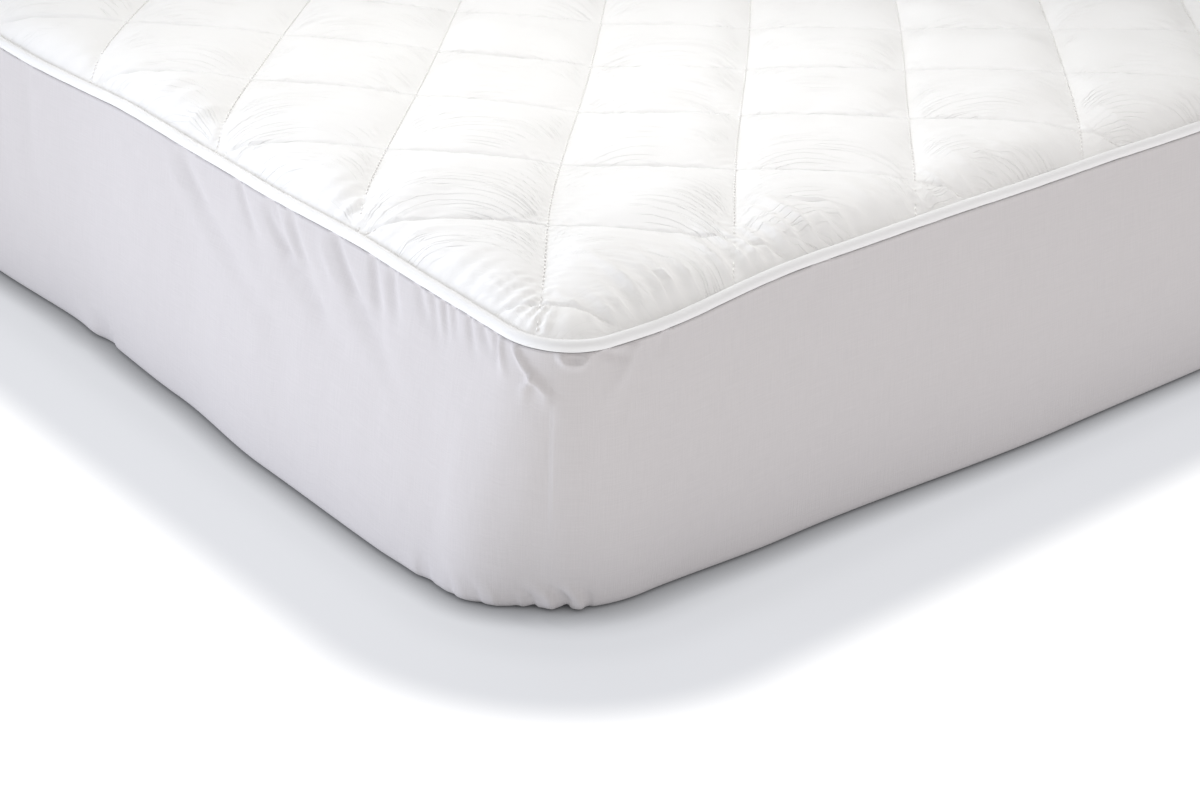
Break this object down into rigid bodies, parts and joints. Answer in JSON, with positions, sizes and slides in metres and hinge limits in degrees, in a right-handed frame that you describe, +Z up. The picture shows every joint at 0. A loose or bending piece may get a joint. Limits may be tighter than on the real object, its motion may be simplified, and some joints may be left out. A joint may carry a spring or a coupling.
{
  "type": "quilted mattress protector on a plain mattress",
  "caption": "White quilted mattress protector with puffed diamond quilting, round piping and a plain cloth skirt that turns under the plain mattress it is fitted over.",
  "frame": {"origin": "Middle of the bed's footprint, on the surface that it rests on.", "axes": "+Z up, the shortest way; +Y along the long sides of the bed. The corner in the picture is the one at -X -Y."},
  "size_m": [1.4179, 1.968, 0.3034],
  "materials": {
    "quilted_cotton": "matte",
    "piping_cotton": "matte",
    "skirt_cotton": "matte",
    "mattress_ticking": "matte"
  },
  "bodies": {
    "root": {"quilted_top": "quilted_cotton", "piping": "piping_cotton", "skirt": "skirt_cotton", "mattress": "mattress_ticking"}
  },
  "joints": []
}
